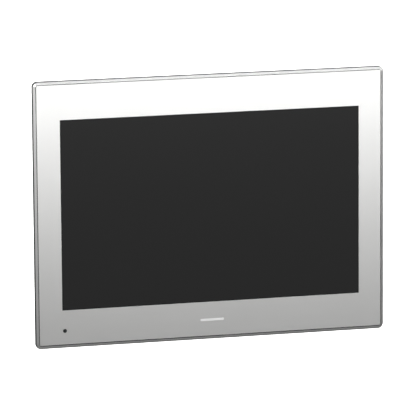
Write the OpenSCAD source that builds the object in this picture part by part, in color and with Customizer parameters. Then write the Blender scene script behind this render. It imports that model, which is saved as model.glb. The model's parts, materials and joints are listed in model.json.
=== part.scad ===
// Operator touch panel for a control cabinet door, 12.1 inch wide display.
// Units are millimetres. X runs right, Y into the cabinet and Z up, seen from the front.
// The origin is the middle of the panel cut-out, on the plane that the sealing gasket presses on.

/* [Bezel] */
// Width of the bezel
bezel_w = 308.5; // [306:0.5:312]
// Height of the bezel
bezel_h = 230.5; // [229:0.5:234]
// Radius of the bezel's outline at its corners
bezel_r = 4.5; // [4.5:0.5:5.5]
// How far the front face stands out from the cabinet panel
bezel_proud = 6; // [6:0.25:7]
// Width of the raised rim round the front sheet
rim_w = 2.65; // [2.6:0.05:3]
// Width of the rim's sloping edge
slope_w = 2.5; // [2:0.1:2.5]
// Depth of the sloping edge
slope_d = 1.8; // [1.2:0.1:2.4]

/* [Front sheet] */
// Thickness of the front sheet and of the touch film beside it
sheet_t = 0.5; // [0.3:0.1:0.6]
// Gap between the sheet and the raised rim round it
sheet_gap = 0.45; // [0.3:0.05:0.5]
// Width of the display window
window_w = 262.9; // [260:0.1:264]
// Height of the display window
window_h = 164.4; // [162:0.1:165]
// Distance of the status light from the middle, to the left
led_x = -129; // [-130.5:0.5:-128]
// Height of the status light
led_z = -100.3; // [-101:0.1:-100]
// Diameter of the status light's window
led_d = 3.5; // [3:0.1:4]

/* [Body] */
// Width of the body behind the cut-out, for a 295 mm wide cut-out
body_w = 293.6; // [293:0.1:294.6]
// Height of the body behind the cut-out, for a 217 mm high cut-out
body_h = 215.6; // [215:0.1:216.6]
// Depth of the wide part of the body behind the panel
step_y = 30; // [29:0.5:30.5]
// Depth of the whole body behind the panel
body_depth = 52; // [52:0.5:56]
// Wall thickness of the rear cover
wall = 2.2; // [2:0.1:2.4]

/* [Installation clamps] */
// Distance of each clamp screw from the middle, across
clamp_x = 95; // [90:1:100]
// Distance of each clamp screw from the middle, up or down
clamp_z = 100.5; // [100:0.5:101]
// Length of a clamp arm from the screw's axis to its tip
arm_len = 14.3; // [13.5:0.1:14.5]
// Outside diameter of the clamp screws' thread
clamp_screw_d = 4; // [3.8:0.1:4.2]

/* [Electronics] */
// Width of the main board
board_w = 235; // [230:1:236]
// Height of the main board
board_h = 140; // [138:1:140]
// Number of fins on the heat sink
fin_count = 13; // [9:2:15]
// Number of ventilation slots along the top
vent_count = 31; // [21:2:35]

/* [Hidden] */
$fn = 48;
over = 1;          // how far a cut runs past the face that it opens
snug = 0.05;       // radial clearance of a running fit

// Depths, front to back
front_y = -bezel_proud;
recess_y = front_y + sheet_t;
glass_y = recess_y + 1.5;
seal_y = glass_y + 0.5;
ledge_y = -1.5;
flange_y = -0.8;
cushion_y = -0.5;
lcd_y = 8.5;
chassis_y = 10.5;
chassis_t = 1.2;
joint_y = 12;      // where the bezel's skirt meets the rear cover
board_y = 29;
board_t = 1.6;
parts_y = board_y + board_t;

// Widths and heights
sheet_w = bezel_w - 2 * (rim_w + sheet_gap);
sheet_h = bezel_h - 2 * (rim_w + sheet_gap);
groove_d = 1.3;
skirt_t = 2;
inner_w = body_w - 2 * skirt_t;
inner_h = body_h - 2 * skirt_t;
body_r = 4;
window_x = 0.3;
window_z = -0.3;
touch_w = 274;
touch_h = 175.5;
ledge_w = 266;
ledge_h = 167.5;
lcd_w = 278;
lcd_h = 184;
gasket_w = 3.6;
gasket_room = 0.2;
gasket_groove = 1.6;
gasket_out_w = 304;
gasket_out_h = 226;

// Raised rear of the body, which holds the board and the sockets
hump_x = 125;
hump_low = -63;
hump_high = 88;
hump_wall = 2.4;
hump_roof = body_depth - hump_wall;
open_x = 118.5;    // half the width of the opening that the board stands in
board_z = -59.6 + board_h / 2;

// Fixing points
chassis_points = [for (x = [-68, -30, 30, 68], z = [-98.9, 98.9]) [x, z]];
cover_points = [for (x = [-138, 0, 138], z = [-99.5, 99.5]) [x, z]];
housing_points = [for (x = [-119.2, 119.2], z = [hump_low + 5.8, hump_high - 5.8]) [x, z]];
standoff_points = [for (x = [-110, 0, 110], z = [-36, 72]) [x, z]];
led_board_y = 5.2;
led_screw_dx = 8.5;
tap_r = 1.25;
thread_r = 1.22;
head_r = 2.8;
cover_seat_y = step_y - 3;
housing_seat_y = body_depth - 3;

// Clamps: the two upper ones, and the same two turned half a turn about Y for the lower ones
clamp_places = [[clamp_x, 0], [-clamp_x, 0], [clamp_x, 180], [-clamp_x, 180]];
well_left = -4.8;
well_right = arm_len + 1.9;
well_floor = 94.4;
well_wall = 1.4;
well_front = 1;
well_back = 18;
pad_y = 7.6;
arm_y = 9.1;
arm_t = 5;
arm_r = 4.4;
arm_half = 3.9;
washer_t = 1;
screw_r = clamp_screw_d / 2;
nut_front = 21;

// Sockets along the bottom of the raised part, by their middle
power_x = 98;
usb_x = [70, 52];
mini_usb_x = 36;
jack_x = [17, -2, -25];
serial_x = -62;
socket_z = hump_low - 0.4;
jack_y = parts_y + 0.2;
usb_y = parts_y + 3.4;
mini_usb_y = parts_y + 2.5;
serial_y = 38.5;
serial_screw_dx = 12.5;
plug_y = 39.5;

// Card bay in the right side of the raised part
bay_z = 38;
door_h = 37.6;
door_t = 2;
door_x = hump_x - 0.2 - door_t / 2;
hinge_y = 47.5;
door_free_y = 31.2;
hinge_r = 1.2;
hinge_pin_r = 0.85;

// ---------- Shapes used more than once ----------

// A flat shape drawn as seen from the front, between two depths
module slab(front, back)
  translate([0, back, 0])
    rotate([90, 0, 0])
      linear_extrude(height = back - front)
        children();

// A box between its low and high corners
module block(low, high)
  translate(low)
    cube(high - low);

// A round bar along Y
module rod(x, z, front, back, r)
  translate([x, back, z])
    rotate([90, 0, 0])
      cylinder(h = back - front, r = r);

// A round bar along Z
module post(x, y, low, high, r)
  translate([x, y, low])
    cylinder(h = high - low, r = r);

module rounded_rect(w, h, r) {
  square([w - 2 * r, h], center = true);
  square([w, h - 2 * r], center = true);
  for (x = [-1, 1], z = [-1, 1])
    translate([x * (w / 2 - r), z * (h / 2 - r)])
      circle(r);
}

module ring(w, h, r, band)
  difference() {
    rounded_rect(w, h, r);
    rounded_rect(w - 2 * band, h - 2 * band, max(r - band, 0.5));
  }

module at_window()
  translate([window_x, 0, window_z])
    children();

// A profile swept round a rounded rectangle: its x runs outwards, its y towards the front
module swept(w, h, r)
  rotate([90, 0, 0])
    for (i = [0:3]) {
      along = i % 2 == 0 ? h : w;
      reach = i % 2 == 0 ? w : h;
      rotate([0, 0, 90 * i])
        translate([reach / 2 - r, along / 2 - r, 0]) {
          rotate_extrude(angle = 90)
            children();
          rotate([90, 0, 0])
            linear_extrude(height = along - 2 * r)
              children();
        }
    }

// A pan-head screw along Y, its head towards the back
module pan_screw(x, z, tip, seat, head_t)
  union() {
    rod(x, z, tip, seat, thread_r);
    rod(x, z, seat, seat + head_t, head_r);
  }

// Puts a clamp's own frame, with its screw axis at the origin, in each of its places
module at_clamp(i)
  rotate([0, clamp_places[i][1], 0])
    translate([clamp_places[i][0], 0, clamp_z])
      children();

// ---------- Front ----------

module rim_profile() {
  foot = -flange_y;
  wall_x = bezel_r - rim_w;
  groove_x = wall_x - sheet_gap - 0.05;
  polygon([
    [0, foot], [bezel_r - 0.4, foot], [bezel_r, foot + 0.4],
    [bezel_r, bezel_proud - slope_d - 0.15], [bezel_r - 0.15, bezel_proud - slope_d + 0.1],
    [bezel_r - slope_w, bezel_proud], [wall_x, bezel_proud],
    [wall_x, bezel_proud - groove_d], [groove_x, bezel_proud - groove_d],
    [groove_x, bezel_proud - sheet_t], [0, bezel_proud - sheet_t]
  ]);
}

module front_bezel()
  color("silver")
    difference() {
      union() {
        difference() {
          union() {
            swept(bezel_w, bezel_h, bezel_r)
              rim_profile();
            slab(recess_y, flange_y)
              square([bezel_w - 2 * bezel_r, bezel_h - 2 * bezel_r], center = true);
          }
          slab(ledge_y, flange_y + over)
            rounded_rect(inner_w, inner_h, body_r - skirt_t);
        }
        slab(flange_y, joint_y)
          ring(body_w, body_h, body_r, skirt_t);
        for (p = chassis_points)
          rod(p[0], p[1], ledge_y, chassis_y, 3.5);
        for (p = cover_points)
          rod(p[0], p[1], ledge_y, joint_y, 3.75);
        rod(led_x + led_screw_dx, led_z, ledge_y, led_board_y, 2.2);
      }
      at_window()
        slab(recess_y - over, seal_y)
          rounded_rect(touch_w + 0.6, touch_h + 0.6, 1);
      at_window()
        slab(seal_y - over, ledge_y + over)
          rounded_rect(ledge_w, ledge_h, 1);
      slab(flange_y - gasket_groove, flange_y + 0.01)
        ring(gasket_out_w + 2 * gasket_room, gasket_out_h + 2 * gasket_room, body_r,
          gasket_w + 2 * gasket_room);
      // passage of the touch panel's tail
      block([-9, recess_y - over, -95.2], [9, ledge_y + over, -88]);
      rod(led_x, led_z, recess_y - over, ledge_y + over, led_d / 2 + 0.05);
      rod(led_x + led_screw_dx, led_z, 0.5, led_board_y + over, 0.8);
      for (p = chassis_points)
        rod(p[0], p[1], 1.5, chassis_y + over, tap_r);
      for (p = cover_points)
        rod(p[0], p[1], 1.5, joint_y + over, tap_r);
      for (i = [0:3])
        at_clamp(i)
          block([well_left - well_wall - 0.2, well_front - well_wall - 0.2, -8],
            [well_right + well_wall + 0.2, joint_y + over, 12]);
    }

module front_sheet()
  color("gainsboro")
    difference() {
      slab(front_y, recess_y)
        rounded_rect(sheet_w, sheet_h, 1.6);
      at_window()
        slab(front_y - over, recess_y + over)
          rounded_rect(window_w, window_h, 0.3);
      rod(led_x, led_z, front_y - over, recess_y + over, led_d / 2);
    }

module touch_film()
  color("#202224")
    at_window()
      slab(front_y, recess_y)
        rounded_rect(window_w - 0.2, window_h - 0.2, 0.25);

module touch_glass()
  color("#9fb4b8")
    at_window()
      slab(recess_y, glass_y)
        rounded_rect(touch_w, touch_h, 0.8);

module touch_seal()
  color("#303030")
    at_window()
      slab(glass_y, seal_y)
        ring(touch_w, touch_h, 0.8, 3.8);

// The tail leaves the glass, passes the display's lower edge and rises to the main board
module touch_tail()
  color("#b5772a")
    union() {
      block([-8, recess_y + 0.6, -94.1], [8, recess_y + 0.9, window_z - touch_h / 2]);
      block([-8, recess_y + 0.6, -94.4], [8, 14.3, -94.1]);
      block([-8, 14, -94.4], [8, 14.3, -50]);
      block([-8, 14, -50.3], [8, board_y, -50]);
    }

module panel_gasket()
  color("#2b2b2b")
    slab(flange_y - gasket_groove, 0)
      ring(gasket_out_w, gasket_out_h, body_r, gasket_w);

module led_light_guide()
  color("#d8dedc")
    union() {
      rod(led_x, led_z, front_y + 0.1, 3.6, led_d / 2 - 0.05);
      rod(led_x, led_z, ledge_y, ledge_y + 1.2, 2.6);
    }

module led_board()
  color("#1d6b3a")
    difference() {
      union() {
        block([led_x - 3.5, led_board_y, led_z - 4.2], [led_x + 10.7, led_board_y + 1.2, led_z + 4.2]);
        block([led_x - 1.2, led_board_y - 1.4, led_z - 1], [led_x + 1.2, led_board_y, led_z + 1]);
      }
      rod(led_x + led_screw_dx, led_z, led_board_y - over, led_board_y + 3, 1.1);
    }

module led_screw()
  color("#c8c8c8")
    union() {
      rod(led_x + led_screw_dx, led_z, 1, led_board_y + 1.2, 0.78);
      rod(led_x + led_screw_dx, led_z, led_board_y + 1.2, led_board_y + 2.4, 1.8);
    }

// ---------- Display ----------

module lcd_cushion()
  color("#1b1b1b")
    at_window()
      slab(ledge_y, cushion_y)
        ring(272, 173.5, 1, 3.4);

module lcd_frame()
  color("#c9ccd0")
    at_window()
      difference() {
        slab(cushion_y, lcd_y)
          rounded_rect(lcd_w, lcd_h, 1);
        slab(cushion_y + 0.4, lcd_y + over)
          square([lcd_w - 1, lcd_h - 1], center = true);
        slab(cushion_y - over, cushion_y + over)
          square([263.6, 165.4], center = true);
      }

module lcd_panel()
  color("#15171a")
    at_window()
      slab(cushion_y + 0.4, cushion_y + 1.9)
        square([268, 171], center = true);

module lcd_backlight()
  color("#f2f2ee")
    at_window()
      slab(cushion_y + 1.9, lcd_y - 1.2)
        square([lcd_w - 1.6, lcd_h - 1.6], center = true);

module lcd_rear_plate()
  color("#aeb3b8")
    at_window()
      slab(lcd_y - 1.2, lcd_y)
        square([lcd_w - 1.4, lcd_h - 1.4], center = true);

module lcd_driver_board()
  color("#1d6b3a")
    at_window()
      slab(lcd_y, lcd_y + 0.8)
        translate([0, -80])
          square([230, 16], center = true);

module lcd_pads()
  color("#2b2b2b")
    at_window()
      for (x = [-118, 118], z = [-58, 72])
        slab(lcd_y, chassis_y)
          translate([x, z])
            rounded_rect(24, 12, 1.5);

// Ribbon from the display's driver board, through the chassis plate, to the main board
module lcd_cable()
  color("#d9d4c4")
    union() {
      block([-70, lcd_y + 0.8, -80], [-45, lcd_y + 1.2, -66]);
      block([-70, lcd_y + 0.8, -66.4], [-45, 20.4, -66]);
      block([-70, 20, -66.4], [-45, 20.4, -40]);
      block([-70, 20, -40.4], [-45, board_y, -40]);
    }

// ---------- Chassis and main board ----------

module chassis_plate()
  color("#b9bdc2")
    difference() {
      slab(chassis_y, chassis_y + chassis_t)
        rounded_rect(284.4, 206.4, 2);
      for (p = chassis_points)
        rod(p[0], p[1], chassis_y - over, joint_y, 1.6);
      for (p = cover_points)
        rod(p[0], p[1], chassis_y - over, joint_y, 5.3);
      for (p = standoff_points)
        rod(p[0], p[1], chassis_y - over, joint_y, 2.15);
      for (i = [0:3])
        at_clamp(i)
          block([well_left - 2.4, chassis_y - over, -8.3], [well_right + 2.4, joint_y, 12]);
      block([-10, chassis_y - over, -96.5], [10, joint_y, -92]);
      block([-73, chassis_y - over, -68], [-42, joint_y, -64]);
      for (x = [-84:24:84], z = [-20, 30])
        slab(chassis_y - over, joint_y)
          translate([x, z])
            rounded_rect(10, 30, 4.9);
    }

module chassis_screws()
  color("#c8c8c8")
    for (p = chassis_points)
      pan_screw(p[0], p[1], 3, chassis_y + chassis_t, 1.8);

module board_standoffs()
  color("#c9b26a")
    for (p = standoff_points)
      difference() {
        union() {
          rod(p[0], p[1], chassis_y, chassis_y + chassis_t, 2.1);
          translate([p[0], board_y, p[1]])
            rotate([90, 0, 0])
              cylinder(h = board_y - chassis_y - chassis_t, r = 3.2, $fn = 6);
        }
        rod(p[0], p[1], board_y - 9, board_y + over, tap_r);
      }

module main_board()
  color("#1f7a45")
    difference() {
      slab(board_y, parts_y)
        translate([0, board_z])
          rounded_rect(board_w, board_h, 2);
      for (p = standoff_points)
        rod(p[0], p[1], board_y - over, parts_y + over, 1.6);
      for (p = housing_points)
        rod(p[0], p[1], board_y - over, parts_y + over, 4.6);
    }

module board_screws()
  color("#c8c8c8")
    for (p = standoff_points)
      pan_screw(p[0], p[1], parts_y - 8, parts_y, 2);

module processor()
  color("#2a2c2f")
    block([-33, parts_y, 21], [-6, parts_y + 1.8, 48]);

module heat_sink() {
  base_y = parts_y + 1.8;
  pitch = (60 - 1.4) / (fin_count - 1);
  color("#8d9196")
    union() {
      block([-49.5, base_y, 5], [10.5, base_y + 2.6, 65]);
      for (i = [0:fin_count - 1])
        block([-49.5 + i * pitch, base_y + 2.6, 5], [-48.1 + i * pitch, 46.5, 65]);
    }
}

module memory_chips()
  color("#2a2c2f")
    for (z = [6:16:54])
      block([17, parts_y, z], [29, parts_y + 1.1, z + 9]);

module capacitors()
  color("#b8bcc2")
    for (p = [[90, -20], [102, -20], [90, -4], [102, -4]])
      rod(p[0], p[1], parts_y, parts_y + 11, 5);

module coin_cell()
  color("#d4d4d2")
    rod(-85, 50, parts_y + 0.8, parts_y + 4, 10);

module cell_holder()
  color("#26282b")
    difference() {
      union() {
        rod(-85, 50, parts_y, parts_y + 4.6, 11.6);
        block([-97.5, parts_y, 47], [-72.5, parts_y + 2.4, 53]);
      }
      rod(-85, 50, parts_y + 0.8, parts_y + 6, 10.1);
    }

module buzzer()
  color("#1d1d1f")
    difference() {
      rod(-85, 12, parts_y, parts_y + 6.5, 6);
      rod(-85, 12, parts_y + 5.5, parts_y + 7, 1);
    }

// ---------- Sockets ----------

module power_header()
  color("#2f7d4a")
    difference() {
      block([power_x - 10, parts_y, socket_z], [power_x + 10, plug_y + 6, -50.5]);
      block([power_x - 8, plug_y - 4.3, socket_z - over], [power_x + 8, plug_y + 4.3, -53]);
    }

// Round pins of the power header and of the serial port
module socket_pins()
  color("#d9bd62")
    union() {
      for (x = [-5.08, 0, 5.08])
        post(power_x + x, plug_y, -60.8, -53, 0.5);
      for (i = [0:4])
        post(serial_x - 5.5 + i * 2.76, serial_y + 1.4, -65, -61.5, 0.5);
      for (i = [0:3])
        post(serial_x - 4.1 + i * 2.76, serial_y - 1.4, -65, -61.5, 0.5);
    }

// Three-way plug with screw terminals: it pulls straight down out of the header
module power_plug()
  color("#37965a")
    difference() {
      union() {
        block([power_x - 7.8, plug_y - 4.1, -63.6], [power_x + 7.8, plug_y + 4.1, -53.4]);
        block([power_x - 9.4, plug_y - 6, -75], [power_x + 9.4, plug_y + 6, -63.6]);
      }
      for (x = [-5.08, 0, 5.08]) {
        post(power_x + x, plug_y, -62, -53, 0.7);
        block([power_x + x - 1.8, plug_y - 3.6, -76], [power_x + x + 1.8, plug_y, -67]);
        rod(power_x + x, -70.5, plug_y - 1, plug_y + 7, 1.9);
      }
    }

module plug_screws()
  color("#c8c8c8")
    for (x = [-5.08, 0, 5.08])
      rod(power_x + x, -70.5, plug_y - 0.6, plug_y + 4.6, 1.85);

module usb_shells()
  color("#c4c7ca")
    union() {
      for (x = usb_x)
        difference() {
          block([x - 6.8, usb_y - 3.2, socket_z], [x + 6.8, usb_y + 3.2, -49]);
          block([x - 6.3, usb_y - 2.7, socket_z - over], [x + 6.3, usb_y + 2.7, -50]);
        }
      difference() {
        block([mini_usb_x - 4.2, mini_usb_y - 2.3, socket_z], [mini_usb_x + 4.2, mini_usb_y + 2.3, -53]);
        block([mini_usb_x - 3.8, mini_usb_y - 1.9, socket_z - over],
          [mini_usb_x + 3.8, mini_usb_y + 1.9, -54]);
      }
    }

module usb_tongues()
  color("#e9e9e6")
    union() {
      for (x = usb_x)
        block([x - 5.5, usb_y + 0.2, -62.4], [x + 5.5, usb_y + 2, -50]);
      block([mini_usb_x - 2.6, mini_usb_y - 0.4, -62.4], [mini_usb_x + 2.6, mini_usb_y + 0.5, -54]);
    }

module network_jacks()
  color("#34373b")
    for (x = jack_x)
      difference() {
        block([x - 8, jack_y, socket_z], [x + 8, jack_y + 13.4, -44]);
        block([x - 5.9, jack_y + 2.2, socket_z - over], [x + 5.9, jack_y + 9, -49]);
        block([x - 3, jack_y + 8, socket_z - over], [x + 3, jack_y + 11.4, -54]);
      }

module jack_contacts()
  color("#d9bd62")
    for (x = jack_x, i = [0:7])
      block([x - 3.77 + i * 1.02, jack_y + 2.2, -61], [x - 3.37 + i * 1.02, jack_y + 2.7, -49]);

// Outline of a nine-way D-shaped shell, wider away from the board
module d_outline(grow) {
  half_wide = 8.3 + grow;
  half_narrow = 7.2 + grow;
  half_high = 4.1 + grow;
  polygon([[-half_narrow, -half_high], [half_narrow, -half_high],
    [half_wide, half_high], [-half_wide, half_high]]);
}

// A flat shape drawn in X and Y, with its middle at the serial port, between two heights
module at_serial(low, high)
  translate([serial_x, serial_y, low])
    linear_extrude(height = high - low)
      children();

module serial_shell()
  color("#c4c7ca")
    difference() {
      union() {
        at_serial(-60.4, -59.6)
          rounded_rect(30.8, 12.5, 1.5);
        at_serial(-66, -60.4)
          d_outline(0.5);
      }
      at_serial(-66 - over, -59)
        d_outline(0);
      for (x = [-serial_screw_dx, serial_screw_dx])
        post(serial_x + x, serial_y, -62, -58, 1.6);
    }

module serial_insert()
  color("#202225")
    union() {
      at_serial(-61.5, -59.6)
        d_outline(-0.05);
      block([serial_x - 10, parts_y, -59.6], [serial_x + 10, serial_y + 5, -50]);
    }

module serial_screwlocks()
  color("#c8c8c8")
    for (x = [-serial_screw_dx, serial_screw_dx])
      difference() {
        union() {
          post(serial_x + x, serial_y, -63.4, -55, 1.5);
          translate([serial_x + x, serial_y, -66])
            cylinder(h = 5.6, r = 2.7, $fn = 6);
        }
        post(serial_x + x, serial_y, -67, -60, 1.2);
      }

module card_socket()
  color("#c4c7ca")
    difference() {
      block([88, parts_y, bay_z - 14], [115.5, parts_y + 3.2, bay_z + 14]);
      block([92, parts_y + 0.5, bay_z - 12.2], [117, parts_y + 2.8, bay_z + 12.2]);
    }

// ---------- Rear cover and what it carries ----------

// Door of the card bay, on two pins of its own along Z
module card_cover()
  color("#3a3d41")
    union() {
      difference() {
        block([door_x - door_t / 2, door_free_y, bay_z - door_h / 2],
          [door_x + door_t / 2, hinge_y, bay_z + door_h / 2]);
        translate([door_x + 3.2, door_free_y, bay_z])
          sphere(r = 3.6);
      }
      post(door_x, hinge_y, bay_z - door_h / 2, bay_z + door_h / 2, hinge_r);
      post(door_x, hinge_y, bay_z - door_h / 2 - 1.6, bay_z + door_h / 2 + 1.6, hinge_pin_r);
    }

// Wide part of the rear shell, open in the middle for the main board
module rear_cover_shell()
  difference() {
    union() {
      slab(joint_y, step_y)
        rounded_rect(body_w, body_h, body_r);
      slab(joint_y - 3, joint_y + 2)
        rounded_rect(body_w - 2 * wall, body_h - 2 * wall, body_r - wall);
    }
    slab(joint_y + 2, step_y - wall)
      rounded_rect(body_w - 2 * wall, body_h - 2 * wall, body_r - wall);
    slab(joint_y - 4, joint_y + 2 + 0.01)
      rounded_rect(body_w - 2 * wall - 3.6, body_h - 2 * wall - 3.6, 1);
    block([-open_x, step_y - wall - over, hump_low + hump_wall],
      [open_x, step_y + over, hump_high - hump_wall]);
  }

// Solid parts inside the shell: screw columns, bosses for the housing's screws, and clamp wells
module rear_cover_inside() {
  for (p = cover_points)
    rod(p[0], p[1], joint_y, step_y, 5);
  for (p = housing_points)
    rod(p[0], p[1], step_y - 11, step_y, 3.5);
  for (i = [0:3])
    at_clamp(i) {
      block([well_left - well_wall, well_front - well_wall, well_floor - well_wall - clamp_z],
        [well_right + well_wall, well_back + 2, body_h / 2 - clamp_z]);
      block([-6.8, well_back, -6.8], [6.8, step_y, 6.8]);
    }
}

// Notches in the housing's front edge that let it slide on over the sockets
module socket_openings() {
  low = hump_low - over;
  high = hump_low + hump_wall + over;
  start = step_y - over;
  block([power_x - 10.2, start, low], [power_x + 10.2, plug_y + 6.2, high]);
  for (x = usb_x)
    block([x - 7, start, low], [x + 7, usb_y + 3.4, high]);
  block([mini_usb_x - 4.4, start, low], [mini_usb_x + 4.4, mini_usb_y + 2.5, high]);
  for (x = jack_x)
    block([x - 8.2, start, low], [x + 8.2, jack_y + 13.6, high]);
  at_serial(low, high)
    rounded_rect(31.2, 12.9, 1.6);
}

module card_bay_cut() {
  x_floor = door_x - door_t / 2 - 0.3;
  reach = door_h / 2 + 0.3;
  block([x_floor, door_free_y - 0.4, bay_z - reach], [hump_x + over, hinge_y + 1.9, bay_z + reach]);
  block([hump_x - 7, parts_y + 0.3, bay_z - 15.5], [x_floor + over, hinge_y - 3, bay_z + 15.5]);
  post(door_x, hinge_y, bay_z - door_h / 2 - 1.8, bay_z + door_h / 2 + 1.8, hinge_pin_r + snug);
}

module vent_slots() {
  pitch = 6;
  start = -pitch * (vent_count - 1) / 2;
  for (i = [0:vent_count - 1])
    block([start + i * pitch - 1.2, step_y + 4, hump_high - hump_wall - over],
      [start + i * pitch + 1.2, body_depth - 5, hump_high + over]);
  for (z = [-40:6:26])
    block([-hump_x - over, step_y + 4, z], [-hump_x + hump_wall + over, body_depth - 5, z + 2.4]);
  for (x = [-99:6:-15])
    block([x - 1.2, hump_roof - over, 58], [x + 1.2, body_depth + over, 78]);
}

module rear_cover()
  color("#3a3d41")
    difference() {
      union() {
        rear_cover_shell();
        rear_cover_inside();
      }
      for (p = cover_points) {
        rod(p[0], p[1], joint_y - over, step_y, 1.7);
        rod(p[0], p[1], cover_seat_y, step_y + over, 3.3);
      }
      for (p = housing_points)
        rod(p[0], p[1], step_y - 10, step_y + over, tap_r);
      for (i = [0:3])
        at_clamp(i) {
          block([well_left, well_front, well_floor - clamp_z], [well_right, well_back, 12]);
          rod(0, 0, well_back - over, step_y + over, screw_r + 0.3);
          rod(0, 0, nut_front, step_y - 0.5, 4.2);
        }
    }

// Raised rear housing over the main board and the sockets
module electronics_housing()
  color("#34373b")
    difference() {
      union() {
        difference() {
          slab(step_y, body_depth)
            translate([0, (hump_low + hump_high) / 2])
              rounded_rect(2 * hump_x, hump_high - hump_low, 3);
          block([-hump_x + hump_wall, step_y - over, hump_low + hump_wall],
            [hump_x - hump_wall, hump_roof, hump_high - hump_wall]);
        }
        for (p = housing_points)
          rod(p[0], p[1], step_y, body_depth, 4);
        block([hump_x - 5.5, parts_y + 0.3, bay_z - 23], [hump_x, body_depth, bay_z + 23]);
      }
      for (p = housing_points) {
        rod(p[0], p[1], step_y - over, body_depth, 1.7);
        rod(p[0], p[1], housing_seat_y, body_depth + over, 3.3);
      }
      socket_openings();
      card_bay_cut();
      vent_slots();
      // recess for the rating label
      slab(body_depth - 0.4, body_depth + over)
        translate([40, 20])
          rounded_rect(96, 56, 2);
    }

module cover_screws()
  color("#c8c8c8")
    union() {
      for (p = cover_points)
        pan_screw(p[0], p[1], 4, cover_seat_y, 2.2);
      for (p = housing_points)
        pan_screw(p[0], p[1], step_y - 9, housing_seat_y, 2.2);
    }

module clamp_nuts()
  color("#d2b35b")
    for (i = [0:3])
      at_clamp(i)
        difference() {
          rod(0, 0, nut_front, step_y - 0.5, 4.2);
          rod(0, 0, nut_front - over, step_y + over, screw_r + snug);
        }

module rating_label()
  color("#d9dadb")
    slab(body_depth - 0.4, body_depth - 0.2)
      translate([40, 20])
        rounded_rect(95, 55, 1.6);

// ---------- Installation clamps ----------
// Each arm is folded into its well. The screw carries it towards the panel as it is turned,
// and swings it outwards until it stands behind the edge of the cut-out.

module clamp_arm(i)
  color("#b4b8bd")
    at_clamp(i)
      difference() {
        union() {
          rod(0, 0, arm_y, arm_y + arm_t, arm_r);
          block([0, arm_y, -arm_half], [arm_len, arm_y + arm_t, arm_half]);
          block([arm_len - 5, pad_y, -arm_half], [arm_len, arm_y + over, arm_half]);
        }
        rod(0, 0, arm_y - over, arm_y + arm_t + over, screw_r + snug);
      }

module clamp_washer(i)
  color("#8b8e92")
    at_clamp(i)
      difference() {
        rod(0, 0, arm_y + arm_t + 0.05, arm_y + arm_t + washer_t, 3.8);
        rod(0, 0, arm_y, arm_y + arm_t + 3, screw_r + snug);
      }

module clamp_screw(i) {
  collar_y = arm_y + arm_t + washer_t + 0.05;
  head_y = step_y + 7.4;
  color("#c8c8c8")
    at_clamp(i)
      union() {
        rod(0, 0, arm_y - 0.9, arm_y - 0.05, 3.1);
        rod(0, 0, arm_y - 0.1, head_y, screw_r);
        rod(0, 0, collar_y, collar_y + 0.9, 3);
        rod(0, 0, head_y, head_y + 2.6, 3.6);
      }
}

front_bezel();
front_sheet();
touch_film();
touch_glass();
touch_seal();
touch_tail();
panel_gasket();
led_light_guide();
led_board();
led_screw();
lcd_cushion();
lcd_frame();
lcd_panel();
lcd_backlight();
lcd_rear_plate();
lcd_driver_board();
lcd_pads();
lcd_cable();
chassis_plate();
chassis_screws();
board_standoffs();
main_board();
board_screws();
processor();
heat_sink();
memory_chips();
capacitors();
coin_cell();
cell_holder();
buzzer();
power_header();
socket_pins();
power_plug();
plug_screws();
usb_shells();
usb_tongues();
network_jacks();
jack_contacts();
serial_shell();
serial_insert();
serial_screwlocks();
card_socket();
card_cover();
rear_cover();
electronics_housing();
cover_screws();
clamp_nuts();
rating_label();
for (i = [0:3]) {
  clamp_arm(i);
  clamp_screw(i);
  clamp_washer(i);
}
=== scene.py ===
import json
import math
import random

import bmesh
import bpy
from mathutils import Matrix, Vector

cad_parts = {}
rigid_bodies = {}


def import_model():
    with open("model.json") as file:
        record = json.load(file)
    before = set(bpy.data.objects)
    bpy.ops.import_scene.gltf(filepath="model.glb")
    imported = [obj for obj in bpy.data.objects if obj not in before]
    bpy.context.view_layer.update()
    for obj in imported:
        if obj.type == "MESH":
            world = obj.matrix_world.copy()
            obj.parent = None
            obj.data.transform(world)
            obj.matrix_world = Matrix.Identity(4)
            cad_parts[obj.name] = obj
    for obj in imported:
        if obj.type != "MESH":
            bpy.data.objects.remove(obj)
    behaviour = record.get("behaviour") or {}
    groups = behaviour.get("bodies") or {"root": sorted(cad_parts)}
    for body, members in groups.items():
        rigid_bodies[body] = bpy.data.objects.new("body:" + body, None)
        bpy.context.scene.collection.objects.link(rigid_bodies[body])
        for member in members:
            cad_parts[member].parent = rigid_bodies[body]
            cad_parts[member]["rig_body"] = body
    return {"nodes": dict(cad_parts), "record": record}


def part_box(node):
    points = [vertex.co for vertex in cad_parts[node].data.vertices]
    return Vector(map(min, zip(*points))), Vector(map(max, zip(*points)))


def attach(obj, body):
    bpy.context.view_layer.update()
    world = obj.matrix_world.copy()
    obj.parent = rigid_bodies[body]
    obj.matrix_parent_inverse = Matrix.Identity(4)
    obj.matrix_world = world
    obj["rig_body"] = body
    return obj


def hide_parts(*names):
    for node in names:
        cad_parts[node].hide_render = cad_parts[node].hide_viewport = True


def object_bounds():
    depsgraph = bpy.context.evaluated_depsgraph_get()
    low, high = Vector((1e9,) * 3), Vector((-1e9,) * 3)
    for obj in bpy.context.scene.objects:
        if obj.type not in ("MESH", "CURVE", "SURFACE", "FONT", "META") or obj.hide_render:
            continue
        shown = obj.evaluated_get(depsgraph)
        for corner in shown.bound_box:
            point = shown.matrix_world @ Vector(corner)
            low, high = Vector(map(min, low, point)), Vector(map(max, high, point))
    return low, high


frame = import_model()
cad_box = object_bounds()

# Sizes here are in millimetres, and MM turns them into Blender's metres.
MM = 0.001


def node_box(node):
    """A CAD node's two corners in millimetres."""
    return [[round(c / MM, 2) for c in corner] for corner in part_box(node)]


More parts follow.
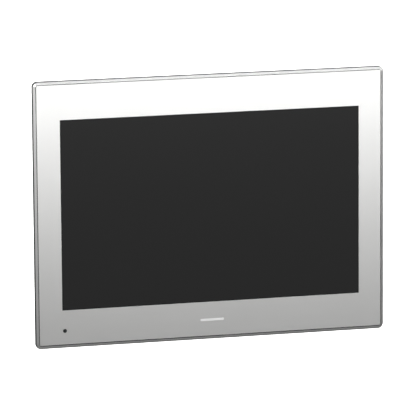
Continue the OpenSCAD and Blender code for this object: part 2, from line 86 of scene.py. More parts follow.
def node_middle(node):
    """The middle of a CAD node, in whole tenths of a millimetre."""
    low, high = node_box(node)
    return [round((a + b) / 2, 1) for a, b in zip(low, high)]


HALF_W, _, HALF_H = node_box("front_bezel")[1]
FRONT_Y = node_box("front_bezel")[0][1]


# ---------- Camera ----------

def make_camera():
    """The camera stands to the left of the panel and a little above it, as in the photograph."""
    yaw, pitch, roll = (math.radians(a) for a in (14.269, 10.826, -0.411))
    distance, to_right, upwards = 3584, -1.413, -1.208
    forward = Vector((math.sin(yaw) * math.cos(pitch),
                      math.cos(yaw) * math.cos(pitch),
                      -math.sin(pitch)))
    level = Vector((math.cos(yaw), -math.sin(yaw), 0))
    upright = level.cross(forward)
    right = level * math.cos(roll) + upright * math.sin(roll)
    up = upright * math.cos(roll) - level * math.sin(roll)
    data = bpy.data.cameras.new("camera")
    data.sensor_width, data.lens = 36, 362.95
    data.clip_start, data.clip_end = 0.1, 60
    camera = bpy.data.objects.new("camera", data)
    bpy.context.scene.collection.objects.link(camera)
    place = right * to_right + up * upwards - forward * distance
    turn = Matrix((right, up, -forward)).transposed().to_4x4()
    camera.matrix_world = Matrix.Translation(place * MM) @ turn
    bpy.context.scene.camera = camera


make_camera()


# ---------- Finishes ----------

looks = {}


def finish_nodes(name):
    """A new material, with its nodes, its links and its shader."""
    material = bpy.data.materials.new(name)
    material.use_nodes = True
    tree = material.node_tree
    return material, tree.nodes, tree.links, tree.nodes["Principled BSDF"]


def noise(nodes, links, source, size, detail=3.0):
    """Noise whose grains are about size millimetres across."""
    node = nodes.new("ShaderNodeTexNoise")
    node.inputs["Scale"].default_value = 1 / (size * MM)
    node.inputs["Detail"].default_value = detail
    node.inputs["Roughness"].default_value = 0.55
    links.new(source, node.inputs["Vector"])
    return node.outputs["Fac"]


def spread(nodes, links, source, low, high, start=0.3, end=0.7):
    """Maps a texture's middle part to the range from low to high."""
    node = nodes.new("ShaderNodeMapRange")
    for socket, value in (("From Min", start), ("From Max", end),
                          ("To Min", low), ("To Max", high)):
        node.inputs[socket].default_value = value
    links.new(source, node.inputs["Value"])
    return node.outputs["Result"]


def blend_colors(nodes, links, factor, first, second):
    """Mixes two colours, each a triple or another node's output."""
    node = nodes.new("ShaderNodeMix")
    node.data_type = "RGBA"
    links.new(factor, node.inputs[0])
    for socket, value in ((node.inputs[6], first), (node.inputs[7], second)):
        if isinstance(value, (tuple, list)):
            socket.default_value = (*value, 1)
        else:
            links.new(value, socket)
    return node.outputs[2]


def times(nodes, links, first, second):
    """The product of two outputs."""
    node = nodes.new("ShaderNodeMath")
    node.operation = "MULTIPLY"
    links.new(first, node.inputs[0])
    links.new(second, node.inputs[1])
    return node.outputs[0]


def finish(name, color, rough, metal, grain, mottle, stretch=(1, 1, 1), worn=None, **sockets):
    """A surface finish: mottled colour, uneven roughness, fine relief, and worn edges.

    grain is (size, relief) and mottle is (size, share of the colour that it varies by).
    worn is (colour of the edges, how much of it shows). The sockets are the shader's own,
    with _ for each space in their names.
    """
    uneven = 0.12
    material, nodes, links, shader = finish_nodes(name)
    shader.inputs["Metallic"].default_value = metal
    for socket, value in sockets.items():
        shader.inputs[socket.replace("_", " ")].default_value = value
    place = nodes.new("ShaderNodeTexCoord").outputs["Object"]
    mapping = nodes.new("ShaderNodeMapping")
    mapping.inputs["Scale"].default_value = stretch
    links.new(place, mapping.inputs["Vector"])
    fine = noise(nodes, links, mapping.outputs["Vector"], grain[0])
    broad = noise(nodes, links, place, mottle[0], 4.0)
    darker = tuple(c * (1 - mottle[1]) for c in color)
    lighter = tuple(min(1, c * (1 + mottle[1])) for c in color)
    tint = blend_colors(nodes, links, spread(nodes, links, broad, 0, 1), darker, lighter)
    gloss = spread(nodes, links, fine, rough * (1 - uneven), rough * (1 + uneven))
    if worn:
        edge = nodes.new("ShaderNodeAttribute")
        edge.attribute_name = "edge"
        patches = spread(nodes, links, broad, 0.2 * worn[1], worn[1])
        patchy = times(nodes, links, edge.outputs["Fac"], patches)
        tint = blend_colors(nodes, links, patchy, tint, worn[0])
    links.new(tint, shader.inputs["Base Color"])
    links.new(gloss, shader.inputs["Roughness"])
    bump = nodes.new("ShaderNodeBump")
    bump.inputs["Strength"].default_value = 1.0
    bump.inputs["Distance"].default_value = grain[1] * MM
    links.new(fine, bump.inputs["Height"])
    links.new(bump.outputs["Normal"], shader.inputs["Normal"])
    looks[name] = material


def board_finish(name):
    """Solder mask over copper traces, with tinned pads and vias."""
    material, nodes, links, shader = finish_nodes(name)
    place = nodes.new("ShaderNodeTexCoord").outputs["Object"]
    turn = nodes.new("ShaderNodeMapping")
    turn.inputs["Rotation"].default_value = (math.pi / 2, 0, 0)
    links.new(place, turn.inputs["Vector"])
    bricks = nodes.new("ShaderNodeTexBrick")
    bricks.inputs["Scale"].default_value = 120
    bricks.inputs["Mortar Size"].default_value = 0.045
    bricks.inputs["Brick Width"].default_value = 0.9
    bricks.inputs["Row Height"].default_value = 0.28
    links.new(turn.outputs["Vector"], bricks.inputs["Vector"])
    dots = nodes.new("ShaderNodeTexVoronoi")
    dots.inputs["Scale"].default_value = 260
    links.new(turn.outputs["Vector"], dots.inputs["Vector"])
    via = spread(nodes, links, dots.outputs["Distance"], 1, 0, 0.1, 0.14)
    green = blend_colors(nodes, links, spread(nodes, links, noise(nodes, links, place, 9), 0, 1),
                         (0.010, 0.085, 0.032), (0.014, 0.115, 0.042))
    traced = blend_colors(nodes, links, bricks.outputs["Fac"], green, (0.03, 0.2, 0.075))
    tinned = blend_colors(nodes, links, via, traced, (0.62, 0.55, 0.36))
    links.new(tinned, shader.inputs["Base Color"])
    links.new(spread(nodes, links, via, 0.32, 0.42, 0, 1), shader.inputs["Roughness"])
    bump = nodes.new("ShaderNodeBump")
    bump.inputs["Distance"].default_value = 0.04 * MM
    links.new(bricks.outputs["Fac"], bump.inputs["Height"])
    links.new(bump.outputs["Normal"], shader.inputs["Normal"])
    looks[name] = material


STEEL = (0.6, 0.61, 0.62)
finish("silver_paint", (0.72, 0.72, 0.712), 0.42, 0.25, (0.12, 0.006), (30, 0.012))
# A darker, glossier copy of the silver paint for the bezel's slope: painted shade.
finish("bevel_painted_shade", (0.64, 0.64, 0.635), 0.32, 0.6, (0.12, 0.006), (30, 0.012))
finish("bare_casting", (0.36, 0.365, 0.37), 0.5, 0.7, (0.5, 0.025), (14, 0.04))
# The side wall's near-black finish is partly a dark paint and partly painted shade along the
# bezel's outer edge.
finish("edge_paint_and_shade", (0.1, 0.1, 0.1), 0.6, 0, (0.12, 0.006), (20, 0.05), Specular_IOR_Level=0.04)
# A near-black finish for the groove round the sheet and the sheet's cut edge: painted shade in the
# recess.
finish("groove_painted_shade", (0.022, 0.022, 0.022), 0.6, 0, (0.12, 0.006), (20, 0.05),
       Specular_IOR_Level=0.04)
finish("silver_print", (0.74, 0.74, 0.73), 0.46, 0.2, (0.1, 0.004), (45, 0.01))
# The screen's faint glow is painted light: it stands in for an even sheen over the dark screen.
finish("screen_black", (0.005, 0.005, 0.005), 0.4, 0, (0.06, 0.004), (40, 0.04),
       Specular_IOR_Level=0.18, Emission_Strength=0.0165)
# The white bar's glow is painted light.
finish("mark_white", (0.9, 0.9, 0.9), 0.5, 0, (0.1, 0.005), (6, 0.01), Emission_Strength=0.12)
finish("clear_glass", (0.55, 0.62, 0.62), 0.08, 0, (2, 0.001), (20, 0.02))
finish("black_foam", (0.03, 0.03, 0.03), 0.9, 0, (0.35, 0.08), (4, 0.15))
finish("flex_amber", (0.5, 0.24, 0.06), 0.35, 0, (1.2, 0.02), (5, 0.12))
finish("gasket_rubber", (0.03, 0.03, 0.031), 0.7, 0, (0.25, 0.03), (9, 0.18),
       worn=((0.09, 0.09, 0.09), 0.5))
finish("smoked_lens", (0.055, 0.056, 0.056), 0.2, 0, (0.8, 0.002), (3, 0.05), Coat_Weight=0.5)
board_finish("circuit_green")
finish("steel_sheet", STEEL, 0.34, 1, (0.3, 0.01), (12, 0.05), (1, 1, 12))
finish("screw_steel", STEEL, 0.3, 1, (0.15, 0.008), (2, 0.07), worn=((0.75, 0.75, 0.75), 0.7))
finish("display_cell", (0.015, 0.016, 0.02), 0.2, 0, (0.5, 0.002), (20, 0.04))
finish("backlight_white", (0.82, 0.82, 0.8), 0.6, 0, (0.5, 0.01), (20, 0.02))
finish("ribbon", (0.66, 0.63, 0.54), 0.5, 0, (0.4, 0.03), (8, 0.05), (4, 1, 0.1))
finish("raw_aluminium", (0.66, 0.67, 0.68), 0.38, 1, (0.2, 0.012), (9, 0.06), (1, 1, 8))
finish("brass_plain", (0.7, 0.52, 0.24), 0.3, 1, (0.15, 0.01), (3, 0.08))
finish("chip_black", (0.028, 0.028, 0.03), 0.55, 0, (0.12, 0.012), (3, 0.1))
finish("cover_plastic", (0.062, 0.065, 0.07), 0.52, 0, (0.45, 0.035), (26, 0.09),
       worn=((0.13, 0.135, 0.14), 0.6))
finish("terminal_green", (0.03, 0.22, 0.085), 0.38, 0, (0.3, 0.01), (4, 0.07),
       worn=((0.12, 0.34, 0.18), 0.5))
finish("socket_black", (0.03, 0.031, 0.033), 0.42, 0, (0.25, 0.012), (4, 0.1))
finish("socket_metal", (0.68, 0.68, 0.67), 0.24, 1, (0.2, 0.006), (3, 0.05), (1, 1, 6))
finish("tongue_white", (0.78, 0.78, 0.75), 0.4, 0, (0.3, 0.008), (3, 0.04))
finish("contact_gold", (0.86, 0.64, 0.26), 0.22, 1, (0.1, 0.005), (1, 0.06))
finish("label_film", (0.62, 0.63, 0.64), 0.36, 0.4, (0.25, 0.006), (10, 0.03), (0.15, 1, 3))
finish("label_ink", (0.05, 0.052, 0.055), 0.45, 0, (0.2, 0.004), (5, 0.08))
finish("clamp_zinc", (0.46, 0.47, 0.48), 0.44, 0.85, (0.5, 0.05), (5, 0.12),
       worn=((0.68, 0.69, 0.7), 0.8))
finish("light_green", (0.05, 0.42, 0.12), 0.25, 0, (0.3, 0.004), (2, 0.06))
finish("light_amber", (0.6, 0.3, 0.03), 0.25, 0, (0.3, 0.004), (2, 0.06))


# ---------- Mesh helpers: in millimetres until a piece is made ----------

def from_cad(node):
    """A CAD node's mesh with its flat faces joined up again."""
    same_place, flat = 0.002, math.radians(0.4)
    bm = bmesh.new()
    bm.from_mesh(frame["nodes"][node].data)
    bmesh.ops.scale(bm, vec=(1 / MM,) * 3, verts=bm.verts)
    bmesh.ops.remove_doubles(bm, verts=bm.verts, dist=same_place)
    bmesh.ops.dissolve_limit(bm, angle_limit=flat, verts=bm.verts, edges=bm.edges)
    return bm


def ease(bm, width, segments=2, where=None):
    """Rounds the sharp edges of a bmesh by a small width, or those of them where a test holds."""
    sharp_angle = math.radians(35)
    sharp = [e for e in bm.edges
             if len(e.link_faces) == 2 and e.calc_face_angle(0) > sharp_angle
             and (where is None or all(where(v.co) for v in e.verts))]
    bmesh.ops.bevel(bm, geom=sharp, offset=width, offset_type="OFFSET", segments=segments,
                    profile=0.5, affect="EDGES", clamp_overlap=False, loop_slide=True)
    bmesh.ops.dissolve_degenerate(bm, dist=0.001, edges=bm.edges)
    return bm


def corner_normals(bm):
    """A normal for each face corner: big faces stay flat, and a rounded edge blends into them."""
    smooth = 0.64       # cosine of the angle up to which two faces share a normal
    big = 0.12          # share of the biggest face's area, under which a face has no say
    bm.normal_update()
    area = {f: f.calc_area() for f in bm.faces}
    around = {v: sorted(v.link_faces, key=lambda f: -area[f]) for v in bm.verts}
    normals = []
    for f in bm.faces:
        for v in f.verts:
            near = [g for g in around[v] if g.normal.dot(f.normal) > smooth]
            biggest = max((area[g] for g in near), default=0)
            total = sum((g.normal * area[g] for g in near if area[g] > biggest * big), Vector())
            normals.append(total.normalized() if total.length > 1e-9 else f.normal.copy())
    return normals


def edge_mask(bm, normals):
    """1 on the corners of the narrow faces that round an edge, and 0 on all others."""
    flat = 0.96         # cosine between a flat face and the normals at its corners, at least
    mask = []
    for f in bm.faces:
        own = normals[len(mask):len(mask) + len(f.verts)]
        mask += [float(any(n.dot(f.normal) < flat for n in own))] * len(f.verts)
    return mask


def piece(name, bm, body, look, nodes=()):
    """Makes an object from a bmesh: it rides on a body and stands for the CAD nodes named.

    look is one finish's name, or a list of them that the faces' material numbers point into.
    """
    bmesh.ops.scale(bm, vec=(MM,) * 3, verts=bm.verts)
    normals = corner_normals(bm)
    mask = edge_mask(bm, normals)
    mesh = bpy.data.meshes.new(name)
    bm.to_mesh(mesh)
    bm.free()
    mesh.attributes.new("edge", "FLOAT", "CORNER").data.foreach_set("value", mask)
    for material in [look] if isinstance(look, str) else look:
        mesh.materials.append(looks[material])
    mesh.polygons.foreach_set("use_smooth", [True] * len(mesh.polygons))
    mesh.normals_split_custom_set(normals)
    obj = bpy.data.objects.new(name, mesh)
    bpy.context.scene.collection.objects.link(obj)
    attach(obj, body)
    if nodes:
        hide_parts(*nodes)


def body_of(node):
    """The body that a CAD node moves with."""
    return frame["nodes"][node]["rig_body"]


def eased(node, look, width, segments=2):
    """A CAD node's shape with rounded edges, standing for the node."""
    bm = ease(from_cad(node), width, segments)
    piece(node + "_fine", bm, body_of(node), look, [node])


def skin(bm, rings):
    """Joins rings of vertices; a ring of one vertex is a pole."""
    for a, b in zip(rings, rings[1:]):
        count = max(len(a), len(b))
        for i in range(count):
            j = (i + 1) % count
            corners = [a[i % len(a)], a[j % len(a)], b[j % len(b)], b[i % len(b)]]
            unique = [v for k, v in enumerate(corners) if v not in corners[:k]]
            if len(unique) > 2:
                bm.faces.new(unique)


def turned(profile, segments, place=Matrix()):
    """A closed shape turned about Y. Its profile pairs are (radius, y)."""
    bm = bmesh.new()
    rings = []
    for radius, y in profile:
        count = segments if radius > 1e-6 else 1
        turns = [2 * math.pi * k / count for k in range(count)]
        points = [Vector((radius * math.cos(t), y, radius * math.sin(t))) for t in turns]
        rings.append([bm.verts.new(place @ p) for p in points])
    skin(bm, rings)
    bmesh.ops.recalc_face_normals(bm, faces=bm.faces)
    return bm


def box(low, high, width=0.0, segments=2):
    """A block between two corners, its edges rounded by width."""
    bm = bmesh.new()
    size = Vector(high) - Vector(low)
    middle = (Vector(high) + Vector(low)) / 2
    place = Matrix.Translation(middle) @ Matrix.Diagonal((*size, 1))
    bmesh.ops.create_cube(bm, size=1, matrix=place)
    if width:
        bmesh.ops.bevel(bm, geom=bm.edges[:], offset=width, offset_type="OFFSET",
                        segments=segments, profile=0.5, affect="EDGES", clamp_overlap=True)
    return bm


def prism(outline, low, high):
    """A closed shape drawn in X and Z, between two depths."""
    bm = bmesh.new()
    rings = [[bm.verts.new((x, y, z)) for x, z in outline] for y in (low, high)]
    skin(bm, rings)
    bm.faces.new(rings[0])
    bm.faces.new(rings[1])
    bmesh.ops.recalc_face_normals(bm, faces=bm.faces)
    return bm


def merged(parts, places=None):
    """One bmesh of several; with places, one bmesh repeated at each of them."""
    bm = bmesh.new()
    pairs = [(p, None) for p in parts] if places is None else [(parts, q) for q in places]
    for part, place in pairs:
        mesh = bpy.data.meshes.new("part")
        part.to_mesh(mesh)
        if place is not None:
            mesh.transform(place)
        bm.from_mesh(mesh)
        bpy.data.meshes.remove(mesh)
    return bm


def carve(bm, *cutters):
    """Cuts closed shapes out of a closed shape, one after the other."""
    for cutter in cutters:
        made = []
        for source in (bm, cutter):
            mesh = bpy.data.meshes.new("carve")
            source.to_mesh(mesh)
            obj = bpy.data.objects.new("carve", mesh)
            bpy.context.scene.collection.objects.link(obj)
            made.append(obj)
        cut = made[0].modifiers.new("cut", "BOOLEAN")
        cut.object, cut.operation, cut.solver = made[1], "DIFFERENCE", "EXACT"
        bpy.context.view_layer.update()
        evaluated = made[0].evaluated_get(bpy.context.evaluated_depsgraph_get())
        result = bpy.data.meshes.new_from_object(evaluated)
        bm = bmesh.new()
        bm.from_mesh(result)
        for obj in made:
            bpy.data.objects.remove(obj)
    return bm


def rounded_path(w, h, r, steps):
    """Points round a rounded rectangle in X and Z, each with its outward direction."""
    path = []
    for k, (sx, sz) in enumerate(((1, 1), (-1, 1), (-1, -1), (1, -1))):
        for i in range(steps + 1):
            t = math.pi / 2 * (k + i / steps)
            out = Vector((math.cos(t), 0, math.sin(t)))
            path.append((Vector((sx * (w / 2 - r), 0, sz * (h / 2 - r))) + out * r, out))
    return path


def swept(path, profile):
    """Sweeps a closed profile of (outwards, y) pairs round a closed path."""
    bm = bmesh.new()
    rings = [[bm.verts.new(p + out * d + Vector((0, y, 0))) for p, out in path] for d, y in profile]
    skin(bm, rings + rings[:1])
    bmesh.ops.recalc_face_normals(bm, faces=bm.faces)
    return bm


def at(x, y, z):
    """A move to a place."""
    return Matrix.Translation((x, y, z))


# ---------- Front ----------

def inset(point):
    """How far a point is inside the bezel's outline, which has round corners."""
    radius = 4.5
    dx = max(abs(point.x) - (HALF_W - radius), 0)
    dz = max(abs(point.z) - (HALF_H - radius), 0)
    if dx and dz:
        return radius - math.hypot(dx, dz)
    return min(HALF_W - abs(point.x), HALF_H - abs(point.z))


def make_bezel():
    """The frame. Its side wall is near black, partly a dark paint and partly painted shade along
    its outer edge; its slope is a darker copy of the silver as painted shade, and the groove round
    the sheet is painted near black as painted shade.

    The groove's wall at the right end looks towards the left, at the light, so it stays silver.
    The back of the frame is bare metal.
    """
    finishes = ["silver_paint", "edge_paint_and_shade", "bevel_painted_shade", "groove_painted_shade", "bare_casting"]
    silver, edge, bevel, groove, bare = range(len(finishes))
    edge_y = FRONT_Y + 1.35      # where the side wall's dark paint, partly painted shade, ends
    eased_y = FRONT_Y + 1.5      # how far back the edges are rounded
    floor_y = FRONT_Y + 2        # past the groove's floor
    bare_y = -0.85               # where the bare back begins
    wall_in, slope_in, rim_in, groove_in = 0.75, 2.52, 2.6, 3.3
    bm = ease(from_cad("front_bezel"), 0.08, where=lambda p: p.y < eased_y)
    outside = [f for f in bm.faces if inset(f.calc_center_median()) < rim_in]
    around = set(outside)
    around.update(v for f in outside for v in f.verts)
    around.update(e for f in outside for e in f.edges)
    bmesh.ops.bisect_plane(bm, geom=list(around), plane_co=(0, edge_y, 0), plane_no=(0, 1, 0))
    for f in bm.faces:
        middle = f.calc_center_median()
        depth = inset(middle)
        lit_wall = middle.x > HALF_W - 4.25 and f.normal.x < -0.5
        if middle.y > bare_y:
            f.material_index = bare
        elif depth < wall_in and middle.y > edge_y:
            f.material_index = edge
        elif depth < slope_in:
            f.material_index = bevel
        elif depth < groove_in and middle.y < floor_y and not lit_wall:
            f.material_index = groove
        else:
            f.material_index = silver
    piece("bezel_frame", bm, "unit", finishes, ["front_bezel"])


def make_sheet():
    """The printed sheet: its cut edge lies in the groove and is painted near black as painted
    shade.
    """
    bm = ease(from_cad("front_sheet"), 0.06)
    cut_edge = 3.15
    for f in bm.faces:
        f.material_index = int(inset(f.calc_center_median()) < cut_edge)
    piece("printed_sheet", bm, "unit", ["silver_print", "groove_painted_shade"],
          ["front_sheet"])


def make_light():
    """Status light: a shallow dome in a smoked guide with a collar behind the sheet."""
    front, radius, rise, back = FRONT_Y + 0.1, 1.7, 0.28, 3.6
    collar = [(radius, -1.5), (2.55, -1.5), (2.6, -1.4), (2.6, -0.4), (2.5, -0.3), (radius, -0.3)]
    turns = [math.pi / 2 * k / 8 for k in range(1, 9)]
    dome = [(radius * math.sin(t), front + rise * (1 - math.cos(t))) for t in turns]
    guide = [(0, front - 0.02)] + dome + collar + [(radius - 0.05, back), (0, back)]
    x, _, z = node_middle("led_light_guide")
    piece("status_light", turned(guide, 48, at(x, 0, z)), "unit", "smoked_lens",
          ["led_light_guide"])


def make_gasket():
    """Rubber ring in the bezel's groove, with two sealing lips."""
    _, (half_w, _, half_h) = node_box("panel_gasket")
    path = rounded_path(2 * half_w, 2 * half_h, 4, 10)
    profile = [(0, -2.4), (0, -0.7), (-0.25, -0.2), (-0.7, 0), (-1.1, -0.2), (-1.4, -0.65),
               (-1.8, -0.75), (-2.2, -0.65), (-2.5, -0.2), (-2.9, 0), (-3.35, -0.2),
               (-3.6, -0.7), (-3.6, -2.4)]
    piece("gasket_ring", swept(path, profile), "unit", "gasket_rubber",
          ["panel_gasket"])


def make_mark():
    """A plain bar on the lower part of the sheet, where a name would be."""
    x, z, width, height = 0.4, -98.1, 20.6, 2.0
    outline = [(p.x + x, p.z + z) for p, _ in rounded_path(width, height, 0.4, 4)]
    piece("plain_mark", prism(outline, FRONT_Y - 0.04, FRONT_Y + 0.02), "unit", "mark_white")


make_bezel()
make_sheet()
eased("touch_film", "screen_black", 0.06)
make_light()
make_gasket()
make_mark()


# ---------- Rear shell and housing ----------

def head(radius, height, recess):
    """A pan head whose seat is at y 0, with a cross or slot recess."""
    turns = [math.pi / 2 * k / 6 for k in range(1, 7)]
    profile = [(0, 0), (radius - 0.1, 0), (radius, 0.12), (radius, height * 0.4)]
    profile += [(radius - 0.45 * radius * (1 - math.cos(t)), height * (0.4 + 0.6 * math.sin(t)))
                for t in turns]
    bm = turned(profile + [(0, height)], 40)
    depth, half, top = height * 0.55, radius * 0.13, height + 1
    if recess == "slot":
        long, floor = radius + 1, height - depth * 0.8
        return carve(bm, box((-long, floor, -half), (long, top, half)))
    long, floor = radius * 0.62, height - depth
    return carve(bm, box((-long, floor, -half), (long, top, half)),
                 box((-half, floor, -long), (half, top, long)))


def bar(radius, low, high, segments, place):
    """A plain round bar along Y."""
    return turned([(0, low), (radius, low), (radius, high), (0, high)], segments, place)


def thread(radius, front, back, pitch):
    """A round bar along Y with a running thread."""
    groove, segments, steps_a_turn = 0.33, 28, 6
    bm = bmesh.new()
    steps = int((back - front) / pitch * steps_a_turn)
    rings = [[bm.verts.new((0, front, 0))]]
    for s in range(steps + 1):
        y = front + (back - front) * s / steps
        ring = []
        for k in range(segments):
            t = 2 * math.pi * k / segments
            phase = (y / pitch - k / segments) % 1
            r = radius - groove * abs(2 * phase - 1) * (0 < s < steps)
            ring.append(bm.verts.new((r * math.cos(t), y, r * math.sin(t))))
        rings.append(ring)
    rings.append([bm.verts.new((0, back, 0))])
    skin(bm, rings)
    bmesh.ops.recalc_face_normals(bm, faces=bm.faces)
    return bm


def make_cover_screws():
    """Pan head screws, six through the rear cover and four through the housing."""
    pan = head(2.8, 2.2, "cross")
    cover_seat, cover_length = 27, 23
    housing_seat, housing_length = 49, 28
    places = [(x, cover_seat, z, cover_length) for x in (-138, 0, 138) for z in (-99.5, 99.5)]
    places += [(x, housing_seat, z, housing_length)
               for x in (-119.2, 119.2) for z in (-57.2, 82.2)]
    rng = random.Random(4)
    parts = []
    for x, y, z, length in places:
        turn = Matrix.Rotation(rng.uniform(0, math.pi), 4, "Y")
        parts.append(merged(pan, [at(x, y, z) @ turn]))
        parts.append(bar(1.22, -length, 0, 20, at(x, y, z)))
    piece("cover_screw_set", merged(parts), "unit", "screw_steel", ["cover_screws"])


def printed_line(w, h, r, steps, width):
    """A printed line round a rounded rectangle."""
    ink = 0.03
    return swept(rounded_path(w, h, r, steps), [(0, 0), (0, ink), (-width, ink), (-width, 0)])


def make_label():
    """Blank silver label with a printed border and empty fields."""
    low, high = node_box("rating_label")
    x, _, z = node_middle("rating_label")
    w, h = high[0] - low[0], high[2] - low[2]
    outline = [(p.x + x, p.z + z) for p, _ in rounded_path(w, h, 1.6, 6)]
    film = ease(prism(outline, low[1], high[1]), 0.04, 1)
    piece("blank_label", film, "unit", "label_film", ["rating_label"])
    lines = [printed_line(w - 4, h - 4, 1, 4, 0.5)]
    for across, up, field_w in ((-22, 12, 38), (22, 12, 38), (0, -13, 82)):
        lines.append(merged(printed_line(field_w, 18, 0.6, 3, 0.3), [at(across, 0, up)]))
    place = at(x, high[1] - 0.01, z)
    piece("label_lines", merged(merged(lines), [place]), "unit", "label_ink")


eased("rear_cover", "cover_plastic", 0.3)
eased("electronics_housing", "cover_plastic", 0.3)
eased("card_cover", "cover_plastic", 0.2)
make_cover_screws()
make_label()


# ---------- Clamps ----------

def make_clamp_screw(node):
    """The clamp's screw: a running thread, a cross head, an end disc and a collar."""
    x, _, z = node_middle(node)
    place = at(x, 0, z) @ Matrix.Rotation(math.pi if z < 0 else 0, 4, "Y")
    end, collar, seat, pitch = 8.2, 15.16, 37.4, 0.7
    screw = merged([
        turned([(0, end), (2.9, end), (3.1, end + 0.2), (3.1, end + 0.85), (0, end + 0.85)], 32),
        thread(1.98, end + 0.8, seat + 0.05, pitch),
        turned([(0, collar), (2.85, collar), (3, collar + 0.14), (3, collar + 0.74),
                (2.85, collar + 0.88), (0, collar + 0.88)], 32),
        merged(head(3.6, 2.6, "cross"), [at(0, seat, 0)]),
    ])
    piece(node + "_threaded", merged(screw, [place]), body_of(node), "screw_steel",
          [node])


for clamp in range(1, 5):
    eased(f"clamp_arm_{clamp}", "clamp_zinc", 0.35, 3)
    make_clamp_screw(f"clamp_screw_{clamp}")
    eased(f"clamp_washer_{clamp}", "screw_steel", 0.12)


# ---------- Sockets ----------

JACKS_X = (17, -2, -25)
POWER_X = node_middle("power_plug")[0]
POLES = (-5.08, 0, 5.08)        # the power plug's three poles, from its middle


def wire(points, width, thick, x):
    """A flat spring wire along points in Y and Z."""
    bm = bmesh.new()
    rings = []
    for i, (y, z) in enumerate(points):
        a, b = points[max(i - 1, 0)], points[min(i + 1, len(points) - 1)]
        along = Vector((0, b[0] - a[0], b[1] - a[1])).normalized()
        across = Vector((0, -along.z, along.y)) * thick / 2
        middle = Vector((x, y, z))
        half = Vector((width / 2, 0, 0))
        rings.append([bm.verts.new(middle + s * half + t * across)
                      for s, t in ((-1, -1), (1, -1), (1, 1), (-1, 1))])
    skin(bm, rings)
    bm.faces.new(rings[0])
    bm.faces.new(rings[-1])
    bmesh.ops.recalc_face_normals(bm, faces=bm.faces)
    return bm


def make_jacks():
    """Spring contacts and small indicator windows of the modular jacks."""
    base = node_box("network_jacks")[0][1]
    bend_y, bend_z, bend_r = base + 2.45, -60.2, 0.55
    contacts, pitch, first = 8, 1.02, -3.57
    turns = [math.pi * k / 6 for k in range(1, 7)]
    spring = [(base + 2.5, -49.4), (bend_y, bend_z)]
    spring += [(bend_y + bend_r * (1 - math.cos(t)), bend_z - bend_r * math.sin(t)) for t in turns]
    spring += [(base + 4.6, -55.5), (base + 5.8, -51.5)]
    wires = [wire(spring, 0.42, 0.3, x + first + i * pitch)
             for x in JACKS_X for i in range(contacts)]
    piece("jack_springs", merged(wires), "unit", "contact_gold", ["jack_contacts"])
    for name, look, dx in (("green", "light_green", -5.7), ("amber", "light_amber", 5.7)):
        windows = [box((x + dx - 1.4, base + 10.6, -63.5), (x + dx + 1.4, base + 12.6, -62), 0.2)
                   for x in JACKS_X]
        piece(f"jack_windows_{name}", merged(windows), "unit", look)


def make_pins():
    """Round contact pins with domed ends, in the power header and the serial port."""
    serial_x, pitch, radius = node_middle("serial_shell")[0], 2.76, 0.5
    places = [(POWER_X + dx, 39.5, -60.8, -53) for dx in POLES]
    places += [(serial_x - 5.5 + i * pitch, 39.9, -65, -61.5) for i in range(5)]
    places += [(serial_x - 4.1 + i * pitch, 37.1, -65, -61.5) for i in range(4)]
    turns = [math.pi / 2 * k / 5 for k in range(6)]
    tip = [(radius * math.sin(t), radius - radius * math.cos(t)) for t in turns]
    parts = []
    for x, y, low, high in places:
        pin = turned(tip + [(radius, high - low), (0, high - low)], 20)
        parts.append(merged(pin, [at(x, y, low) @ Matrix.Rotation(math.pi / 2, 4, "X")]))
    piece("pin_set", merged(parts), "unit", "contact_gold", ["socket_pins"])


def make_plug_screws():
    """The plug's slotted terminal screws, each turned its own way."""
    slotted = head(1.85, 1.2, "slot")
    tip, seat, z = 38.9, 42.9, -70.5
    parts = []
    for dx, turn in zip(POLES, (0.4, 1.3, 2.2)):
        place = at(POWER_X + dx, seat, z) @ Matrix.Rotation(turn, 4, "Y")
        parts.append(merged(slotted, [place]))
        parts.append(bar(1.3, tip, seat + 0.05, 24, at(POWER_X + dx, 0, z)))
    piece("plug_screw_set", merged(parts), "plug", "screw_steel", ["plug_screws"])


make_jacks()
make_pins()
make_plug_screws()
eased("power_header", "terminal_green", 0.2)
eased("power_plug", "terminal_green", 0.18)
eased("network_jacks", "socket_black", 0.15)
eased("usb_shells", "socket_metal", 0.1)
eased("usb_tongues", "tongue_white", 0.12)
eased("serial_shell", "socket_metal", 0.12)
eased("serial_insert", "socket_black", 0.1)
eased("serial_screwlocks", "screw_steel", 0.15)


# ---------- Inside, seen through the vents ----------

def make_small_parts():
    """Chip resistors and capacitors scattered on the main board, clear of the bigger parts."""
    taken = [node_box(n) for n in ("heat_sink", "memory_chips", "capacitors", "cell_holder",
                                   "buzzer", "power_header", "usb_shells", "network_jacks",
                                   "serial_insert", "card_socket")]
    board_y = node_box("main_board")[1][1]
    sizes = ((1.6, 0.8, 0.5), (3.2, 1.6, 0.9), (5, 4, 1.4))
    across, up = (-110, 110), (-42, 76)
    count, gap, end = 90, 3, 0.25
    rng = random.Random(11)
    bodies, ends = [], []
    while len(bodies) < count:
        x, z = rng.uniform(*across), rng.uniform(*up)
        if any(lo[0] - gap < x < hi[0] + gap and lo[2] - gap < z < hi[2] + gap
               for lo, hi in taken):
            continue
        w, h, t = rng.choice(sizes)
        if rng.random() < 0.5:
            w, h = h, w
        bodies.append(box((x - w / 2, board_y, z - h / 2), (x + w / 2, board_y + t, z + h / 2),
                          0.08, 1))
        half_w = end if w > h else w / 2 - 0.05
        half_h = end if w < h else h / 2 - 0.05
        for s in (-1, 1):
            end_x, end_z = (x + s * w / 2, z) if w > h else (x, z + s * h / 2)
            ends.append(box((end_x - half_w, board_y, end_z - half_h),
                            (end_x + half_w, board_y + t * 0.9, end_z + half_h), 0.05, 1))
    piece("small_parts", merged(bodies), "unit", "chip_black")
    piece("small_part_ends", merged(ends), "unit", "screw_steel")


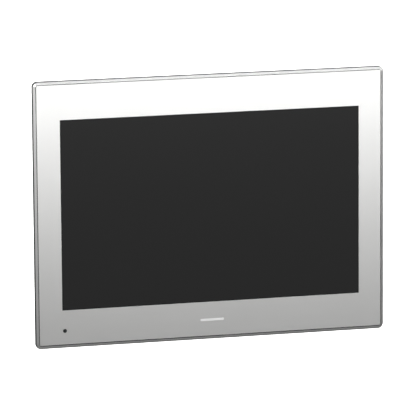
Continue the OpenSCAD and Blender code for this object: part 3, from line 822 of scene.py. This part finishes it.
make_small_parts()
eased("heat_sink", "raw_aluminium", 0.15, 1)
eased("capacitors", "raw_aluminium", 0.4)
eased("memory_chips", "chip_black", 0.12, 1)
eased("cell_holder", "socket_black", 0.2)
eased("coin_cell", "screw_steel", 0.3)
eased("buzzer", "socket_black", 0.3)
eased("card_socket", "socket_metal", 0.1, 1)

# Each CAD node takes the finish that the record names for it.
slot_of = {row["node"]: row["material_slot"] for row in frame["record"]["subparts"]}
for node, obj in frame["nodes"].items():
    obj.data.materials.clear()
    obj.data.materials.append(looks[slot_of[node]])


# ---------- Floor and light ----------

def make_floor():
    """A wide pale floor that the unit stands on."""
    material, nodes, links, shader = finish_nodes("floor_paper")
    shader.inputs["Base Color"].default_value = (0.9, 0.9, 0.9, 1)
    shader.inputs["Roughness"].default_value = 0.9
    shader.inputs["Emission Color"].default_value = (1, 1, 1, 1)
    shader.inputs["Emission Strength"].default_value = 1.0
    bm = bmesh.new()
    bmesh.ops.create_circle(bm, cap_ends=True, segments=96, radius=9)
    mesh = bpy.data.meshes.new("floor")
    bm.to_mesh(mesh)
    mesh.materials.append(material)
    floor = bpy.data.objects.new("floor", mesh)
    floor.location.z = cad_box[0].z - 0.0002
    floor.visible_diffuse = floor.visible_glossy = False
    bpy.context.scene.collection.objects.link(floor)


def make_world():
    """White where the camera sees it, with dim light from all round, most of it from below."""
    world = bpy.data.worlds.new("studio")
    bpy.context.scene.world = world
    world.use_nodes = True
    nodes, links = world.node_tree.nodes, world.node_tree.links
    seen = nodes["Background"]
    lit, mix = nodes.new("ShaderNodeBackground"), nodes.new("ShaderNodeMixShader")
    seen.inputs["Color"].default_value = (1, 1, 1, 1)
    seen.inputs["Strength"].default_value = 1.0
    lit.inputs["Color"].default_value = (1, 1, 1, 1)
    direction = nodes.new("ShaderNodeSeparateXYZ")
    links.new(nodes.new("ShaderNodeTexCoord").outputs["Generated"], direction.inputs[0])
    strength = spread(nodes, links, direction.outputs["Z"], 0.4, 0.04, -0.75, -0.4)
    links.new(strength, lit.inputs["Strength"])
    links.new(nodes.new("ShaderNodeLightPath").outputs["Is Camera Ray"], mix.inputs[0])
    links.new(lit.outputs[0], mix.inputs[1])
    links.new(seen.outputs[0], mix.inputs[2])
    links.new(mix.outputs[0], nodes["World Output"].inputs["Surface"])


def soft_light(name, place, target, width, height, power):
    """A soft box turned towards its target; lengths are in metres and power in watts."""
    data = bpy.data.lights.new(name, "AREA")
    data.shape, data.energy = "RECTANGLE", power
    data.size, data.size_y = width, height
    light = bpy.data.objects.new(name, data)
    light.location = place
    light.rotation_mode = "QUATERNION"
    light.rotation_quaternion = (Vector(target) - Vector(place)).to_track_quat("-Z", "Y")
    light.visible_camera = False
    bpy.context.scene.collection.objects.link(light)


make_floor()
make_world()
# The narrow strip over the front fades down it, as the light in the photograph does.
soft_light("strip_front", (0.4, -0.16, 0.2), (0.4, 0, -0.2), 1.6, 0.06, 4.2)
soft_light("top_front_soft", (0.3, -0.6, 1.02), (0, 0, 0.1), 0.6, 0.6, 0.9)
soft_light("left_front_soft", (-1.3, -0.85, 0.05), (0, 0, 0), 0.8, 0.8, 2.0)
soft_light("top_soft", (0, 0.9, 1.3), (0, 0.1, 0), 1.1, 1.0, 16)
soft_light("rear_soft", (0.5, 1.7, 1.0), (0, 0, 0), 1.6, 1.6, 26)
soft_light("right_soft", (1.4, 1.3, 0.6), (0, 0, 0), 1.2, 1.2, 12)
soft_light("left_soft", (-1.4, 1.3, 0.6), (0, 0, 0), 1.2, 1.2, 12)
bpy.context.scene.view_settings.view_transform = "Standard"
